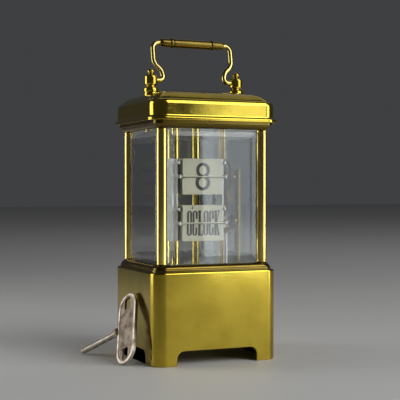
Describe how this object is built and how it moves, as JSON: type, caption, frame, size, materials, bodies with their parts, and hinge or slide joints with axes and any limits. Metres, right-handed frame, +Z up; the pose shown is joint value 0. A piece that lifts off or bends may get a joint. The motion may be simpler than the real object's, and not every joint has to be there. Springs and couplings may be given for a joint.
{
  "type": "flip-leaf mantel clock",
  "caption": "Brass carriage-style mantel clock with four bevelled glasses, flip-leaf time display, clockwork in a box base, folding carrying handle and a loose winding key.",
  "frame": {"origin": "on the ground under the middle of the whole row, clock and key together; the clock's own middle is at X = +9.7 mm, Y = 0", "axes": "+Z up, +X to the right seen from the front, -Y towards the front, where the leaves show the time"},
  "size_m": [0.0919, 0.0644, 0.1712],
  "materials": {
    "case_brass": "satin, lacquered",
    "bright_brass": "polished",
    "inner_brass": "brushed",
    "steel": "brushed",
    "spring_steel": "blued",
    "plate_glass": "clear, bevelled",
    "leaf_card": "ivory, smooth",
    "key_nickel": "worn nickel"
  },
  "bodies": {
    "case": {"base_shell": "case_brass", "base_bottom_cover": "case_brass", "base_cover_screws": "inner_brass", "case_floor": "case_brass", "case_ceiling": "case_brass", "cap_shell": "case_brass", "pillar_front_left": "bright_brass", "pillar_front_right": "bright_brass", "pillar_back_left": "bright_brass", "pillar_back_right": "bright_brass", "case_screws": "inner_brass", "glass_front": "plate_glass", "glass_back": "plate_glass", "glass_left": "plate_glass", "glass_right": "plate_glass", "handle_post_left": "case_brass", "handle_post_right": "case_brass", "movement_plate_lower": "inner_brass", "movement_plate_upper": "inner_brass", "movement_pillars": "inner_brass", "movement_spacers": "inner_brass", "movement_screws": "steel", "click_spring": "spring_steel", "display_posts": "bright_brass", "display_bridges": "inner_brass", "side_plate_left": "steel", "side_plate_right": "steel", "outer_bar": "inner_brass", "hour_leaf_stack": "leaf_card", "minute_leaf_stack": "leaf_card", "hour_leaf_lower": "leaf_card", "minute_leaf_lower": "leaf_card", "leaf_rest_wires": "steel"},
    "handle": {"handle_arm_left": "case_brass", "handle_arm_right": "case_brass", "handle_grip": "case_brass"},
    "barrel_drum": {"barrel": "inner_brass", "barrel_cover": "inner_brass", "mainspring": "spring_steel"},
    "winding": {"winding_arbor": "steel", "ratchet_wheel": "steel"},
    "click_arm": {"click": "steel"},
    "centre": {"centre_arbor": "steel", "centre_wheel": "inner_brass", "drive_bevel": "inner_brass", "setting_knob": "inner_brass"},
    "third": {"third_wheel": "inner_brass"},
    "escape": {"escape_wheel": "inner_brass"},
    "lever": {"pallet_lever": "steel"},
    "balance": {"balance_wheel": "inner_brass", "hairspring": "spring_steel"},
    "minute_drum": {"minute_arbor": "steel", "minute_bevel": "inner_brass"},
    "motion_wheel": {"intermediate_wheel": "inner_brass"},
    "hour_drum": {"hour_arbor": "steel", "hour_wheel": "inner_brass"},
    "hour_flap": {"hour_leaf_upper": "leaf_card"},
    "minute_flap": {"minute_leaf_upper": "leaf_card"},
    "key": {"key_bow": "key_nickel", "key_pipe": "key_nickel"}
  },
  "joints": [
    {"name": "handle_swing", "type": "hinge", "parent": "case", "child": "handle", "pos_m": [0.0097, 0, 0.1479], "axis": [1, 0, 0], "range_deg": [-84, 104]},
    {"name": "centre_turn", "type": "hinge", "parent": "case", "child": "centre", "pos_m": [0.0281, 0, 0.034], "axis": [0, 0, 1], "continuous": true},
    {"name": "barrel_turn", "type": "hinge", "parent": "case", "child": "barrel_drum", "pos_m": [0.0086, 0, 0.022], "axis": [0, 0, 1], "continuous": true},
    {"name": "third_turn", "type": "hinge", "parent": "case", "child": "third", "pos_m": [0.0221, 0.01309, 0.025], "axis": [0, 0, 1], "continuous": true},
    {"name": "escape_turn", "type": "hinge", "parent": "case", "child": "escape", "pos_m": [0.01122, 0.01816, 0.025], "axis": [0, 0, 1], "continuous": true},
    {"name": "minute_drum_turn", "type": "hinge", "parent": "case", "child": "minute_drum", "pos_m": [0.0097, 0, 0.0718], "axis": [1, 0, 0], "continuous": true},
    {"name": "motion_turn", "type": "hinge", "parent": "case", "child": "motion_wheel", "pos_m": [0.0277, 0.00111, 0.08415], "axis": [1, 0, 0], "continuous": true},
    {"name": "hour_drum_turn", "type": "hinge", "parent": "case", "child": "hour_drum", "pos_m": [0.0097, 0, 0.0965], "axis": [1, 0, 0], "continuous": true},
    {"name": "winding_turn", "type": "hinge", "parent": "case", "child": "winding", "pos_m": [0.0086, 0, 0.022], "axis": [0, 0, 1], "continuous": true},
    {"name": "click_swing", "type": "hinge", "parent": "case", "child": "click_arm", "pos_m": [-0.0018, 0, 0.012], "axis": [0, 0, 1], "range_deg": [-10, 0], "stiffness_Nm_per_rad": 0.00002, "springref_deg": 5.73},
    {"name": "lever_rock", "type": "hinge", "parent": "case", "child": "lever", "pos_m": [0.0041, 0.0193, 0.025], "axis": [0, 0, 1], "range_deg": [-4, 4]},
    {"name": "balance_swing", "type": "hinge", "parent": "case", "child": "balance", "pos_m": [-0.003, 0.0202, 0.025], "axis": [0, 0, 1], "range_deg": [-135, 135], "stiffness_Nm_per_rad": 0.0000002},
    {"name": "hour_leaf_flip", "type": "hinge", "parent": "case", "child": "hour_flap", "pos_m": [0.0097, -0.01105, 0.0965], "axis": [1, 0, 0], "range_deg": [0, 178]},
    {"name": "minute_leaf_flip", "type": "hinge", "parent": "case", "child": "minute_flap", "pos_m": [0.0097, -0.01105, 0.0718], "axis": [1, 0, 0], "range_deg": [0, 178]},
    {"name": "key_take", "type": "slide", "parent": "case", "child": "key", "axis": [-0.7071, 0, 0.7071], "range_m": [0, 0.12]}
  ],
  "couplings": [
    {"joint": "barrel_turn", "follows": "centre_turn", "ratio": -0.18182},
    {"joint": "third_turn", "follows": "centre_turn", "ratio": -7},
    {"joint": "escape_turn", "follows": "centre_turn", "ratio": 49},
    {"joint": "minute_drum_turn", "follows": "centre_turn", "ratio": 1},
    {"joint": "motion_turn", "follows": "centre_turn", "ratio": -0.25},
    {"joint": "hour_drum_turn", "follows": "centre_turn", "ratio": 0.083333}
  ]
}
